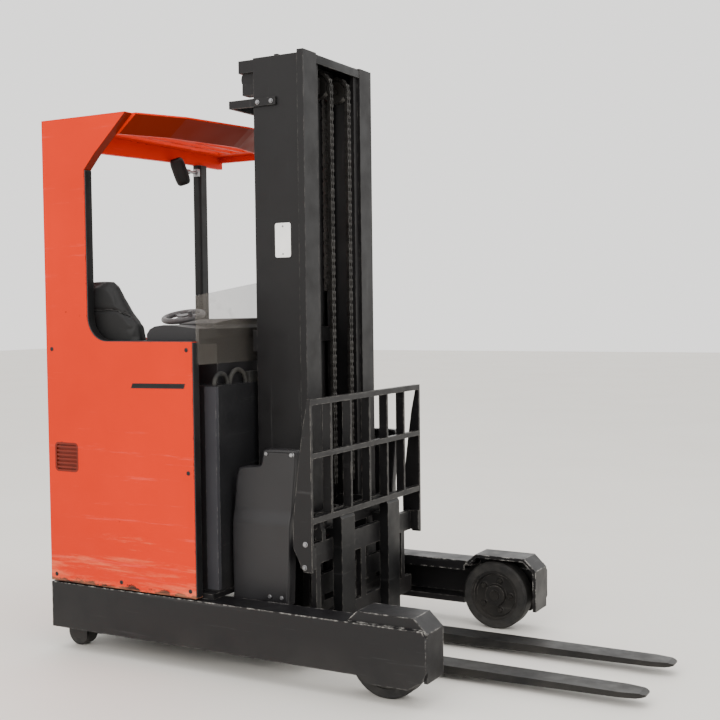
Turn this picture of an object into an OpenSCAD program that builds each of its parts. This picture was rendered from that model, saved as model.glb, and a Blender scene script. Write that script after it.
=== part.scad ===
// Reach truck with moving mast, support legs, sideways seat and overhead guard.
// Drawn with x counted from the rear face, then shifted so the length is centred.

/* [Overall] */
// Length from the rear face to the fork tips
overall_l = 2285; // [2150:5:2500]
// Width over the support legs
overall_w = 1170; // [1120:10:1260]
// Height of the overhead guard
guard_h = 2090; // [2040:10:2160]
// Height of the lowered mast
mast_h = 2315; // [2280:5:2500]

/* [Legs and wheels] */
// Height of the top of the legs
leg_top = 268; // [262:1:275]
// Height of the underside of the legs
leg_bot = 88; // [80:1:95]
// Thickness of the leg's outer web
leg_web = 25; // [18:1:28]
// Distance of the load axle from the rear face
axle_x = 1472; // [1460:2:1480]
// Radius of a load wheel
load_r = 140; // [130:1:142]
// Width of a load wheel
load_w = 80; // [60:1:84]
// Radius of the load axle pin
axle_r = 20; // [16:0.5:24]
// Front end of the legs
leg_front = 1655; // [1645:1:1680]

/* [Drive] */
// Radius of the drive wheel
drive_r = 160; // [140:1:162]
// Width of the drive wheel
drive_w = 90; // [70:1:95]
// Radius of the castor wheel
castor_r = 55; // [45:1:56]
// Trail of the castor wheel
castor_trail = 28; // [20:1:29]

/* [Body] */
// Thickness of the painted panels
panel_t = 40; // [30:1:44]
// Height of the lower edge of the panels
panel_bot = 274; // [270:1:290]
// Height of the sill of the side opening
sill_h = 1225; // [1180:5:1260]
// Length of the right hand panel
panel_l = 715; // [680:5:715]
// Front edge of the wide pillar
pillar_x = 213; // [190:1:240]

/* [Mast and forks] */
// Half width over the outer uprights
mast_hw = 257; // [250:1:262]
// Rear face of the outer uprights
mast_x = 782; // [780:1:790]
// Front face of the fork shanks
fork_x = 1140; // [1136:1:1150]
// Distance of a fork's middle from the centre line
fork_y = 188; // [150:1:300]
// Width of a fork
fork_w = 100; // [80:1:120]
// Thickness of a fork at the heel
fork_t = 40; // [30:1:42]
// Distance of the load backrest's side from the outside of the legs
rest_inset = 137; // [130:1:180]
// Height of the load backrest
rest_h = 1015; // [950:5:1100]

/* [Hidden] */
$fn = 64;
hw = overall_w / 2;
web_in = hw - leg_web;
flange_in = hw - 110;
panel_in = hw - panel_t;
chan_bot = leg_bot + 25;
chan_top = leg_top - 40;
roll_z = (chan_bot + chan_top) / 2;
roll_r = (chan_top - chan_bot) / 2 - 1;
wheel_out = hw - 55;
wheel_in = wheel_out - load_w;
deck_z = 350;
deck_t = 20;
tray_t = 20;
rest_hw = hw - rest_inset;
batt_x0 = 470;
batt_x1 = 757;
batt_z0 = leg_top + tray_t;
batt_z1 = 1060;
batt_hw = hw - 85;
console_top = 1285;
crown = 22;
crown_y1 = hw - 293;
pod_y = crown_y1 + 8;
lever_y = crown_y1 - 192;
lever_z = console_top + crown;
console_x1 = 716;
floor_z = 440;
seat_z = 860;
wheel_z = 1262;
seat_x0 = 45;
seat_x1 = 455;
entry_x0 = 200;
entry_x1 = 500;
entry_z = 490;
entry_r = 60;
roof_side = pillar_x + 209;
roof_knee = roof_side + 115;
roof_front = roof_side + 178;
vent_x = 33;
vent_z = 712;
vent_w = 121;
vent_h = 116;
vent_t = 12;
post_y0 = hw - 205;
post_y1 = hw - 145;
rail_z = guard_h - 74;
king_r = 54;
drive_x = 215;
castor_x = 96;
castor_y = 101 - hw;
motor_r = 90;
drive_y = -motor_r - 40;
arm_in = hw - 180;
arm_out = hw - 150;
reach_y = 110;
rod_r = 17;
arm_z0 = roll_z - 58;
arm_z1 = leg_top - 20;
up_d = 198;
in_fl = 28;
in_x0 = mast_x + 84;
in_x1 = in_x0 + 147;
mast_z0 = 190;
cyl_x = mast_x + 36;
cyl_y = 140;
lift_r = 20;
chain_y = 68;
chain_t = 8;
pitch = 50;
pulley_x = mast_x + 178;
pulley_z = mast_h - 110;
pulley_r = 45;
barrel_top = mast_h - 135;
tie_z = mast_h - 196;
mid_tie_z = mast_h - 1135;
pivot_x = 1068;
pivot_z = 530;
pivot_r = 14;
lug_r = 24;
lug_y = 262;
bar_x0 = 1078;
bar_hw = rest_hw - 28;
fork_z = 50;
rest_x = 1136;
carr_y = 112;
carr_x = 1036;

// Shift from the rear face to the middle of the length
module rf() {
  translate([-overall_l / 2, 0, 0]) children();
}

// A box between two corners
module bx(x0, x1, y0, y1, z0, z1) {
  translate([x0, y0, z0]) cube([x1 - x0, y1 - y0, z1 - z0]);
}

// A side outline of x and z drawn out across the width
module side(y0, y1) {
  translate([0, y1, 0]) rotate([90, 0, 0]) linear_extrude(height = y1 - y0) children();
}

// A round bar across the width
module cy(x, z, y0, y1, r) {
  translate([x, y1, z]) rotate([90, 0, 0]) cylinder(r = r, h = y1 - y0);
}

// A round bar along the length
module cx(y, z, x0, x1, r) {
  translate([x0, y, z]) rotate([0, 90, 0]) cylinder(r = r, h = x1 - x0);
}

// An upright round bar
module cz(x, y, z0, z1, r) {
  translate([x, y, z0]) cylinder(r = r, h = z1 - z0);
}

// The same piece on both sides of the centre line
module both() {
  children();
  mirror([0, 1, 0]) children();
}

// Support leg, drawn on the left side
module leg() {
  bx(345, 1325, web_in, hw, leg_bot, leg_top);
  bx(345, 1325, flange_in, hw, chan_top, leg_top);
  bx(345, 1325, flange_in, hw, leg_bot, chan_bot);
  bx(0, 345, web_in, hw, leg_bot, leg_top);
  bx(1320, 1362, flange_in, hw, leg_top - 18, leg_top);
  side(web_in, hw) polygon([[1325, leg_bot], [1397, leg_bot], [1428, leg_bot - 24],
    [1588, leg_bot - 24], [leg_front - 12, 100], [leg_front, 132], [leg_front, leg_top - 28],
    [leg_front - 15, leg_top], [1325, leg_top]]);
  side(hw - 138, hw - 13) polygon([[1340, leg_top - 6], [1388, leg_top + 38],
    [leg_front - 50, leg_top + 38], [leg_front, leg_top - 10], [leg_front, 91],
    [leg_front - 14, 91], [leg_front - 14, leg_top - 16], [leg_front - 56, leg_top + 24],
    [1394, leg_top + 24], [1358, leg_top - 6]]);
  side(hw - 27, hw - 13) polygon([[1340, leg_top - 6], [1388, leg_top + 38],
    [leg_front - 50, leg_top + 38], [leg_front, leg_top - 10], [leg_front, 240], [1340, 240]]);
}

module left_leg() {
  color([0.22, 0.21, 0.22]) rf() leg();
}

module right_leg() {
  color([0.22, 0.21, 0.22]) rf() mirror([0, 1, 0]) leg();
}

module load_axles() {
  color([0.6, 0.6, 0.62]) rf() both() {
    cy(axle_x, load_r, wheel_in - 3, web_in, axle_r);
    cy(axle_x, load_r, wheel_out + 2, web_in, axle_r + 10);
  }
}

module rear_frame() {
  color([0.2, 0.2, 0.21]) rf() difference() {
    union() {
      bx(0, 20, -web_in, web_in, leg_bot, panel_bot - 6);
      bx(0, 20, -panel_in, panel_in, panel_bot - 10, deck_z + deck_t);
      bx(0, 455, -panel_in, panel_in, deck_z, deck_z + deck_t);
      bx(435, 455, -panel_in, panel_in, leg_top + tray_t, deck_z + deck_t);
      cz(castor_x, castor_y, 182, deck_z + 5, 46);
    }
    cz(drive_x, drive_y, deck_z - 5, deck_z + deck_t + 5, king_r + 0.5);
    cz(castor_x, castor_y, 180, 300, 20.5);
  }
}

module battery_tray() {
  color([0.2, 0.2, 0.21]) rf() {
    bx(360, batt_x1 + 8, -panel_in, panel_in, leg_top, leg_top + tray_t);
  }
}

module battery() {
  color([0.16, 0.16, 0.17]) rf() bx(batt_x0, batt_x1, -batt_hw, batt_hw, batt_z0, batt_z1);
}

// One cable loop over the edge of the battery
module cable(y, r) {
  translate([batt_x1 - 19, y, batt_z1]) rotate([90, 0, 90]) rotate_extrude(angle = 180)
    translate([r, 0]) circle(9, $fn = 24);
}

module battery_cables() {
  color([0.1, 0.1, 0.1]) rf() {
    cable(60 - batt_hw, 42);
    cable(170 - batt_hw, 52);
    bx(722, 754, 232 - batt_hw, 265 - batt_hw + 32, batt_z1, batt_z1 + 42);
  }
}

// Outline of the right hand panel with the wide pillar
module panel_outline() {
  polygon([[0, panel_bot], [panel_l, panel_bot], [panel_l, sill_h], [pillar_x, sill_h],
    [pillar_x, guard_h - 205], [pillar_x + 48, guard_h - 152],
    [roof_side, guard_h - 3], [roof_side, guard_h], [0, guard_h]]);
  difference() {
    translate([pillar_x, sill_h]) square([95, 95]);
    translate([pillar_x + 95, sill_h + 95]) circle(95);
  }
}

// Rectangle with rounded corners from its lower left corner
module rrect(w, h, r) {
  translate([r, 0]) square([w - 2 * r, h]);
  translate([0, r]) square([w, h - 2 * r]);
  for (x = [r, w - r], y = [r, h - r]) translate([x, y]) circle(r);
}

// Outline of the vent, drawn in by d
module vent_outline(d) {
  translate([vent_x + d, vent_z + d]) rrect(vent_w - 2 * d, vent_h - 2 * d, 18 - d);
}

module right_panel() {
  color([0.91, 0.35, 0.18]) rf() difference() {
    side(-hw, -panel_in) panel_outline();
    side(-hw - 1, vent_t - hw) vent_outline(0);
  }
}

// Way in through the left hand panel, with rounded lower corners
module entry_cut() {
  translate([entry_x0 + entry_r, entry_z]) square([entry_x1 - entry_x0 - 2 * entry_r, sill_h]);
  translate([entry_x0, entry_z + entry_r]) square([entry_x1 - entry_x0, sill_h]);
  for (x = [entry_x0 + entry_r, entry_x1 - entry_r])
    translate([x, entry_z + entry_r]) circle(entry_r);
}

module left_panel() {
  color([0.91, 0.35, 0.18]) rf() side(panel_in, hw) difference() {
    polygon([[0, panel_bot], [panel_l, panel_bot], [panel_l, batt_z1 + 30],
      [panel_l - 30, batt_z1 + 60], [entry_x0, batt_z1 + 60], [entry_x0, sill_h], [0, sill_h]]);
    entry_cut();
  }
}

module rear_panel() {
  color([0.91, 0.35, 0.18]) rf() difference() {
    bx(0, panel_t, -panel_in, panel_in, deck_z + deck_t, sill_h);
    for (i = [0:4]) bx(-1, 10, -180, 180, 520 + 40 * i, 540 + 40 * i);
  }
}

module vent_grille() {
  color([0.12, 0.12, 0.12]) rf() {
    side(-hw, vent_t - hw) difference() {
      vent_outline(0);
      vent_outline(8);
    }
    side(8 - hw, vent_t - hw) vent_outline(4);
    for (i = [0:5]) bx(vent_x + 7, vent_x + vent_w - 7, 2 - hw, 9 - hw,
      vent_z + 14 + 16 * i, vent_z + 22 + 16 * i);
  }
}

// Plan of the guard, set back by d at the front
module roof_plan(d) {
  polygon([[0, -panel_in], [roof_side + 20 - d, -panel_in], [roof_knee - d, 229 - hw],
    [roof_front - d, -20], [roof_front - d, 20], [roof_knee - d, hw - 229],
    [roof_side - d, hw], [0, hw]]);
}

module roof() {
  color([0.91, 0.35, 0.18]) rf() difference() {
    union() {
      hull() {
        translate([0, 0, guard_h - 6]) linear_extrude(height = 6) roof_plan(0);
        translate([0, 0, guard_h - 74]) linear_extrude(height = 1) roof_plan(84);
      }
      rotate([90, 0, 90]) linear_extrude(height = 25) polygon([[-panel_in, guard_h - 100],
        [post_y0 - 40, rail_z], [hw, rail_z], [hw, guard_h - 10], [-panel_in, guard_h - 10]]);
    }
    intersection() {
      hull() {
        translate([0, 0, guard_h - 19]) linear_extrude(height = 1) roof_plan(40);
        translate([0, 0, guard_h - 101]) linear_extrude(height = 1) roof_plan(124);
      }
      bx(25, roof_front, -panel_in - 1, hw - 25, guard_h - 120, guard_h - 18);
    }
    bx(25, 400, hw - 30, hw + 1, guard_h - 120, guard_h - 45);
    for (i = [0:4]) bx(80 + 72 * i, 130 + 72 * i, 115 - hw, hw - 105, guard_h - 30, guard_h + 1);
  }
}

module guard_post() {
  color([0.1, 0.1, 0.11]) rf() translate([0, post_y0, sill_h])
    linear_extrude(height = rail_z - sill_h) rrect(45, post_y1 - post_y0, 12);
}

module rear_mirror() {
  color([0.1, 0.1, 0.11]) rf() {
    translate([58, post_y0 - 165, guard_h - 122]) rotate([0, 8, -52])
      scale([0.35, 1, 1.12]) sphere(56, $fn = 32);
    cy(30, guard_h - 110, post_y0 - 165, post_y0, 8);
    cx(post_y0 - 165, guard_h - 110, 26, 60, 8);
  }
}

// Foot pedal with a slanted plate
module pedal(y0, y1) {
  side(y0, y1) polygon([[270, floor_z + 20], [410, floor_z + 20], [410, floor_z + 26],
    [282, floor_z + 46], [270, floor_z + 40]]);
}

module floor_pan() {
  color([0.2, 0.2, 0.2]) rf() {
    bx(panel_t, batt_x0, 0, panel_in, floor_z, floor_z + 20);
    for (x = [60, 415]) bx(x, x + 20, 20, panel_in - 20, deck_z + deck_t, floor_z);
    pedal(90, 200);
    pedal(250, 360);
    for (i = [0:5]) bx(215 + 40 * i, 231 + 40 * i, panel_in - 110, panel_in - 10,
      floor_z + 19, floor_z + 24);
  }
}

// Pedestal as a shell whose front leans in for the heels
module seat_pedestal() {
  color([0.13, 0.13, 0.14]) rf() difference() {
    translate([60, 0, 0]) rotate([90, 0, 90]) linear_extrude(height = 380)
      polygon([[-panel_in, deck_z + deck_t], [0, deck_z + deck_t], [-12, 560], [0, 800],
        [0, seat_z], [-panel_in, seat_z]]);
    translate([80, 0, 0]) rotate([90, 0, 90]) linear_extrude(height = 340)
      polygon([[20 - panel_in, deck_z], [-20, deck_z], [-32, 560], [-20, 804],
        [-20, seat_z - 20], [20 - panel_in, seat_z - 20]]);
  }
}

// Rounded block from hulled upright bars
module pad(x0, x1, y0, y1, z0, z1, r) {
  hull() for (x = [x0 + r, x1 - r], y = [y0 + r, y1 - r]) {
    translate([x, y, z0]) cylinder(r = r, h = z1 - z0 - r / 2, $fn = 24);
    translate([x, y, z0]) cylinder(r = r * 0.6, h = z1 - z0, $fn = 24);
  }
}

module seat_cushion() {
  color([0.07, 0.07, 0.075]) rf() pad(seat_x0, seat_x1, 105 - panel_in, -5, seat_z, 970, 50);
}

// Seat back that narrows to a head piece
module seat_back() {
  color([0.07, 0.07, 0.075]) rf() translate([0, -panel_in, 0]) hull() {
    bx(seat_x0 + 10, seat_x1 - 10, 25, 104.7, seat_z, seat_z + 20);
    bx(seat_x0 + 15, seat_x1 - 13, 17, 104.7, 1280, 1290);
    bx(seat_x0 + 55, seat_x1 - 83, 13, 85, 1345, 1350);
    bx(seat_x0 + 95, seat_x1 - 145, 7, 65, 1440, 1475);
  }
}

module console() {
  color([0.15, 0.15, 0.16]) rf() {
    side(155 - hw, hw - 155) polygon([[batt_x0, batt_z1],
      [console_x1, batt_z1], [console_x1, console_top - 14], [console_x1 - 14, console_top],
      [548, console_top], [500, console_top - 18], [batt_x0, console_top - 60]]);
    translate([548, 0, 0]) rotate([90, 0, 90]) linear_extrude(height = console_x1 - 562)
      polygon([[155 - hw, console_top - 1], [crown_y1, console_top - 1],
      [crown_y1, console_top + crown - 6], [crown_y1 - 6, console_top + crown],
      [295 - hw, console_top + crown], [155 - hw, console_top + 6]]);
    side(5 - panel_in, 156 - hw) polygon([[batt_x0, console_top - 70],
      [console_x1, console_top - 70], [console_x1, console_top - 12],
      [680, console_top - 9], [610, console_top - 1], [550, console_top + 2],
      [508, console_top - 3], [484, console_top - 14], [batt_x0, console_top - 32]]);
  }
}

module instrument_pod() {
  color([0.12, 0.12, 0.13]) rf() difference() {
    translate([560, 0, 0]) rotate([90, 0, 90]) linear_extrude(height = 130)
      polygon([[pod_y, console_top], [pod_y + 125, console_top], [pod_y + 125, console_top + 62],
      [pod_y + 110, console_top + 78], [pod_y + 62, console_top + 78],
      [pod_y + 4, console_top + 18]]);
    translate([570, pod_y + 10, console_top + 24]) rotate([46, 0, 0])
      bx(0, 110, 0, 64, -1, 20);
  }
}

module control_levers() {
  color([0.1, 0.1, 0.1]) rf() {
    for (i = [0:3]) translate([600, lever_y + 50 * i, lever_z]) {
      cz(0, 0, 0, 45, 6);
      translate([0, 0, 45]) sphere(13, $fn = 24);
    }
    bx(575, 625, lever_y - 26, lever_y + 176, lever_z, lever_z + 7);
  }
}

module steering_console() {
  color([0.14, 0.14, 0.15]) rf() side(20, 300) polygon([[panel_t, floor_z + 20],
    [140, floor_z + 20], [150, 700], [185, 1080], [200, 1130], [200, 1245], [183, wheel_z],
    [panel_t, wheel_z]]);
}

module steering_wheel() {
  color([0.3, 0.3, 0.31]) rf() translate([120, 140, wheel_z]) {
    cylinder(r = 20, h = 44);
    translate([0, 0, 53]) rotate([14, 0, 0]) {
      translate([0, 0, -22]) cylinder(r = 26, h = 30);
      rotate_extrude() translate([86, 0]) circle(13, $fn = 32);
      for (a = [30, 150, 270]) rotate([0, 0, a]) bx(5, 82, -10, 10, -7, 4);
      rotate([0, 0, 330]) translate([86, 0, -3]) cylinder(r = 10, h = 39);
    }
  }
}

module front_screen() {
  color([0.3, 0.32, 0.34]) rf() translate([console_x1, 0, 0]) rotate([90, 0, 90])
    linear_extrude(height = 6) polygon([[25 - hw, batt_z1 + 80], [hw - 25, batt_z1 + 80],
      [hw - 25, batt_z1 + 334], [140, batt_z1 + 390], [-140, batt_z1 + 390],
      [25 - hw, batt_z1 + 334]]);
}

module drive_motor() {
  color([0.25, 0.25, 0.26]) rf() difference() {
    cz(drive_x, drive_y, deck_z + deck_t, 640, motor_r);
    cz(drive_x, drive_y, deck_z + deck_t - 1, deck_z + deck_t + 20, 60);
  }
}

module reach_barrel() {
  color([0.15, 0.15, 0.16]) rf() difference() {
    union() {
      cx(reach_y, roll_z, 240, 770, 34);
      bx(400, 425, reach_y - 20, reach_y + 20, roll_z, leg_top);
      bx(690, 715, reach_y - 20, reach_y + 20, roll_z, leg_top);
    }
    cx(reach_y, roll_z, 260, 771, rod_r + 0.5);
  }
}

module drive_unit() {
  color([0.3, 0.3, 0.31]) rf() translate([drive_x, drive_y, 0]) {
    cz(0, 0, deck_z - 23, deck_z - 6, 118);
    cz(0, 0, deck_z - 10, deck_z + deck_t + 12, king_r);
    bx(-60, 60, drive_w / 2 + 8, 98, drive_r - 55, deck_z - 10);
    cy(0, drive_r, -drive_w / 2 + 12, 98, 30);
  }
}

module drive_wheel() {
  color([0.12, 0.12, 0.12]) rf() translate([drive_x, drive_y, drive_r]) rotate([90, 0, 0])
    rotate_extrude() polygon([[30.6, -drive_w / 2 + 10], [drive_r - 45, -drive_w / 2 + 10],
      [drive_r - 40, -drive_w / 2], [drive_r - 8, -drive_w / 2], [drive_r, -drive_w / 2 + 10],
      [drive_r, drive_w / 2 - 10], [drive_r - 8, drive_w / 2], [30.6, drive_w / 2]]);
}

module castor_fork() {
  color([0.3, 0.3, 0.31]) rf() translate([castor_x, castor_y, 0]) {
    cz(0, 0, 160, 295, 20);
    cz(0, 0, 150, 176, 46);
    for (s = [-1, 1]) bx(-castor_trail - 24, 32, s * 41 - 5, s * 41 + 5, castor_r - 20, 156);
    cy(-castor_trail, castor_r, -46, 46, 12);
  }
}

module castor_wheel() {
  color([0.12, 0.12, 0.12]) rf() translate([castor_x - castor_trail, castor_y, castor_r])
    rotate([90, 0, 0]) rotate_extrude() polygon([[12.5, -30], [castor_r - 6, -30],
      [castor_r, -24], [castor_r, 24], [castor_r - 6, 30], [12.5, 30]]);
}

// Tyre of a load wheel, drawn on the left side
module load_tyre() {
  translate([axle_x, (wheel_in + wheel_out) / 2, load_r]) rotate([90, 0, 0]) rotate_extrude()
    polygon([[load_r - 36, -load_w / 2], [load_r - 8, -load_w / 2], [load_r, -load_w / 2 + 9],
      [load_r, load_w / 2 - 9], [load_r - 8, load_w / 2], [load_r - 36, load_w / 2]]);
}

// Hub of a load wheel with a recessed inner face and five bolts
module load_hub() {
  translate([axle_x, (wheel_in + wheel_out) / 2, load_r]) rotate([90, 0, 0]) difference() {
    union() {
      rotate_extrude() polygon([[axle_r + 0.6, -load_w / 2 + 4], [load_r - 36, -load_w / 2 + 4],
        [load_r - 36, load_w / 2 - 4], [load_r - 48, load_w / 2 - 4],
        [load_r - 54, load_w / 2 - 18], [axle_r + 26, load_w / 2 - 18],
        [axle_r + 22, load_w / 2 - 2], [axle_r + 0.6, load_w / 2 - 2]]);
      for (i = [0:4]) rotate([0, 0, 72 * i]) translate([axle_r + 44, 0, load_w / 2 - 20])
        cylinder(r = 9, h = 12, $fn = 24);
    }
  }
}

module left_load_tyre() {
  color([0.1, 0.1, 0.1]) rf() load_tyre();
}

module right_load_tyre() {
  color([0.1, 0.1, 0.1]) rf() mirror([0, 1, 0]) load_tyre();
}

module left_load_hub() {
  color([0.45, 0.45, 0.46]) rf() load_hub();
}

module right_load_hub() {
  color([0.45, 0.45, 0.46]) rf() mirror([0, 1, 0]) load_hub();
}

module reach_frame() {
  color([0.2, 0.2, 0.21]) rf() {
    both() bx(350, 1045, arm_in, arm_out, arm_z0, arm_z1);
    bx(mast_x + 8, mast_x + up_d - 10, -arm_in, arm_in, arm_z0, mast_z0 - 5);
  }
}

module reach_rollers() {
  color([0.4, 0.4, 0.41]) rf() both() for (x = [405, 722]) {
    cy(x, roll_z, arm_out, web_in - 10, 18);
    cy(x, roll_z, flange_in + 10, web_in - 10, roll_r);
  }
}

module reach_rod() {
  color([0.75, 0.75, 0.77]) rf() cx(reach_y, roll_z, 275, mast_x + 8, rod_r);
}

// Outline of the moulded cover beside the foot of the mast
module shroud_outline() {
  polygon([[772, arm_z1], [770, 553], [786, 700], [794, 738], [806, 752], [888, 758], [902, 768],
    [908, 814], [918, 825], [1042, 825], [1051, 816], [1051, 760], [1031, 573],
    [1018, arm_z1]]);
}

// Cover with a turned in rim, brackets to the upright and screw heads, on the left side
module shroud() {
  side(arm_out - 17, arm_out - 5) shroud_outline();
  side(arm_out - 52, arm_out - 16) difference() {
    shroud_outline();
    offset(delta = -8) shroud_outline();
    translate([700, arm_z1 - 10]) square([500, 22]);
  }
  bx(925, 940, mast_hw, arm_out - 16, 740, 790);
  bx(850, 865, mast_hw, arm_out - 16, 420, 470);
  for (p = [[926, 806], [1036, 806], [940, 275], [992, 275]])
    cy(p[0], p[1], arm_out - 6, arm_out, 8);
}

module mast_shrouds() {
  color([0.17, 0.17, 0.18]) rf() both() shroud();
}

// Outer upright, an inward open channel drawn on the left side
module outer_upright() {
  difference() {
    bx(mast_x, mast_x + up_d, mast_hw - 70, mast_hw, mast_z0 - 5, mast_h - 10);
    bx(mast_x + 16, mast_x + up_d - 16, mast_hw - 71, mast_hw - 13, mast_z0 - 6, mast_h);
  }
}

module outer_uprights() {
  color([0.21, 0.2, 0.21]) rf() both() outer_upright();
}

module outer_ties() {
  color([0.21, 0.2, 0.21]) rf() {
    both() bx(mast_x - 108, mast_x + 106, mast_hw, mast_hw + 10, tie_z, tie_z + 30);
    bx(mast_x - 108, mast_x - 93, -mast_hw - 10, mast_hw + 10, tie_z, tie_z + 30);
    both() {
      bx(mast_x - 75, mast_x, mast_hw - 60, mast_hw - 10, mast_h - 60, mast_h - 12);
      bx(mast_x - 58, mast_x, mast_hw - 60, mast_hw - 10, mast_h - 146, mast_h - 104);
      cy(mast_x - 37, mast_h - 82, mast_hw - 48, mast_hw - 22, 34);
    }
    bx(mast_x - 18, mast_x, -mast_hw, mast_hw, mid_tie_z, mid_tie_z + 80);
    bx(mast_x - 18, mast_x, -mast_hw, mast_hw, 330, 420);
  }
}

module lift_barrels() {
  color([0.14, 0.14, 0.15]) rf() both() {
    difference() {
      union() {
        cz(cyl_x, cyl_y, mast_z0 - 5, barrel_top, 31);
        cz(cyl_x, cyl_y, barrel_top - 60, barrel_top, 34);
      }
      cz(cyl_x, cyl_y, 240, barrel_top + 1, lift_r + 0.5);
    }
    bx(mast_x, cyl_x - 24, cyl_y - 20, cyl_y + 20, mid_tie_z + 20, mid_tie_z + 60);
  }
}

// Inner upright with a web and two flanges, drawn on the left side
module inner_upright() {
  bx(in_x0, in_x1, mast_hw - 87, mast_hw - 75, mast_z0 + 5, mast_h);
  bx(in_x0, in_x0 + 16, mast_hw - 117, mast_hw - 19, mast_z0 + 5, mast_h);
  bx(in_x1 - in_fl, in_x1, mast_hw - 87, mast_hw + 9, mast_z0 + 5, mast_h);
  bx(in_x1 - in_fl, in_x1 - 12, mast_hw - 117, mast_hw - 80, mast_z0 + 5, mast_h);
}

module inner_uprights() {
  color([0.24, 0.23, 0.24]) rf() both() inner_upright();
}

module inner_ties() {
  color([0.24, 0.23, 0.24]) rf() {
    bx(in_x0, in_x0 + 16, -mast_hw + 117, mast_hw - 117, mast_h - 95, mast_h);
    bx(in_x0, in_x0 + 16, -mast_hw + 117, mast_hw - 117, mast_z0 + 10, mast_z0 + 70);
    bx(in_x0, in_x0 + 16, -mast_hw + 117, mast_hw - 117,
      mid_tie_z + 30, mid_tie_z + 90);
    bx(cyl_x - 30, in_x0, -cyl_y - 30, cyl_y + 30, mast_h - 40, mast_h);
    both() bx(in_x0 + 16, pulley_x + 20, chain_y + 24, chain_y + 36, mast_h - 140, mast_h - 80);
  }
}

module lift_rods() {
  color([0.75, 0.75, 0.77]) rf() both() cz(cyl_x, cyl_y, 300, mast_h - 40, lift_r);
}

// One layer of waisted leaves, stacked along a run of chain
module leaf_layer(x, z0, n, y0, y1) {
  side(chain_y + y0, chain_y + y1) polygon(concat(
    [for (i = [0:n - 1]) each [[x - chain_t, z0 + pitch * (i + 0.2)],
      [x - chain_t, z0 + pitch * (i + 0.8)], [x - 4, z0 + pitch * (i + 1)]]],
    [for (i = [n - 1:-1:0]) each [[x + 4, z0 + pitch * (i + 1)],
      [x + chain_t, z0 + pitch * (i + 0.8)], [x + chain_t, z0 + pitch * (i + 0.2)]]]));
}

// Run of leaf chain: outer leaves, and inner leaves half a pitch along
module chain_run(x, z1, n) {
  leaf_layer(x, z1 - n * pitch, n, -14, -5);
  leaf_layer(x, z1 - (n - 0.5) * pitch, n - 1, -5, 5);
  leaf_layer(x, z1 - n * pitch, n, 5, 14);
}

module lift_chains() {
  color([0.35, 0.34, 0.33]) rf() both() {
    chain_run(pulley_x + pulley_r + chain_t, pulley_z, floor((pulley_z - 640) / pitch));
    chain_run(pulley_x - pulley_r - chain_t, pulley_z, 16);
    translate([pulley_x, chain_y + 14, pulley_z]) rotate([90, 0, 0]) difference() {
      cylinder(r = pulley_r + 2 * chain_t, h = 28);
      translate([0, 0, -1]) cylinder(r = pulley_r, h = 30);
      translate([-100, -200, -1]) cube([200, 200, 30]);
    }
  }
}

module chain_pulleys() {
  color([0.4, 0.4, 0.41]) rf() both() {
    cy(pulley_x, pulley_z, chain_y - 14, chain_y + 14, pulley_r);
    cy(pulley_x, pulley_z, chain_y - 20, chain_y + 24, 12);
  }
}

module carriage_frame() {
  color([0.19, 0.19, 0.2]) rf() {
    both() {
      side(carr_y, carr_y + 18) polygon([[in_x0 + 24, 240], [carr_x + 18, 240],
        [carr_x + 18, 580], [in_x0 + 60, 580], [in_x0 + 24, 545]]);
      side(lug_y, lug_y + 24) polygon([[carr_x, pivot_z - 40], [pivot_x, pivot_z - lug_r],
        [pivot_x, pivot_z + lug_r], [carr_x, pivot_z + 40]]);
      cy(pivot_x, pivot_z, lug_y, lug_y + 24, lug_r);
      cy(pivot_x, pivot_z, lug_y, lug_y + 58, pivot_r);
    }
    bx(carr_x, carr_x + 18, -lug_y - 24, lug_y + 24, pivot_z - 40, pivot_z + 40);
    bx(carr_x, carr_x + 18, -lug_y - 24, lug_y + 24, 250, 330);
  }
}

module carriage_rollers() {
  color([0.4, 0.4, 0.41]) rf() both() for (z = [300, 520])
    cy((in_x0 + 16 + in_x1 - in_fl) / 2, z, carr_y + 18, mast_hw - 93,
      (in_x1 - in_fl - in_x0 - 16) / 2 - 0.8);
}

module fork_bars() {
  color([0.2, 0.2, 0.21]) rf() difference() {
    union() {
      bx(bar_x0, fork_x - fork_t, -bar_hw, bar_hw, 395, 475);
      bx(bar_x0, fork_x - fork_t, -bar_hw, bar_hw, 130, 200);
      both() {
        side(lug_y + 29, lug_y + 53) polygon([[pivot_x - 14, pivot_z], [bar_x0, 450],
          [fork_x - fork_t, 450], [fork_x - fork_t, pivot_z - 20], [pivot_x + 16, pivot_z + 14]]);
        cy(pivot_x, pivot_z, lug_y + 29, lug_y + 53, lug_r);
        bx(bar_x0, fork_x - fork_t, bar_hw - 90, bar_hw - 60, 150, 450);
      }
      bx(bar_x0, fork_x - fork_t, -20, 20, 150, 450);
    }
    both() cy(pivot_x, pivot_z, lug_y + 28, lug_y + 54, pivot_r + 0.4);
  }
}

module load_backrest() {
  color([0.2, 0.2, 0.21]) rf() {
    both() side(rest_hw - 12, rest_hw) polygon([[1124, rest_h], [rest_x, rest_h], [rest_x, 385],
      [1100, 385], [1056, 470], [1056, 560], [1078, 742], [1100, 900]]);
    bx(1116, rest_x, 12 - rest_hw, rest_hw - 12, rest_h - 22, rest_h);
    bx(1116, rest_x, 12 - rest_hw, rest_hw - 12, 798, 818);
    bx(1110, rest_x, 12 - rest_hw, rest_hw - 12, 560, 582);
    for (i = [-2:2]) bx(1100, rest_x, rest_hw * i / 3 - 6, rest_hw * i / 3 + 6, 575, rest_h - 10);
    both() bx(bar_x0, rest_x, bar_hw, rest_hw - 12, 395, 475);
  }
}

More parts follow.
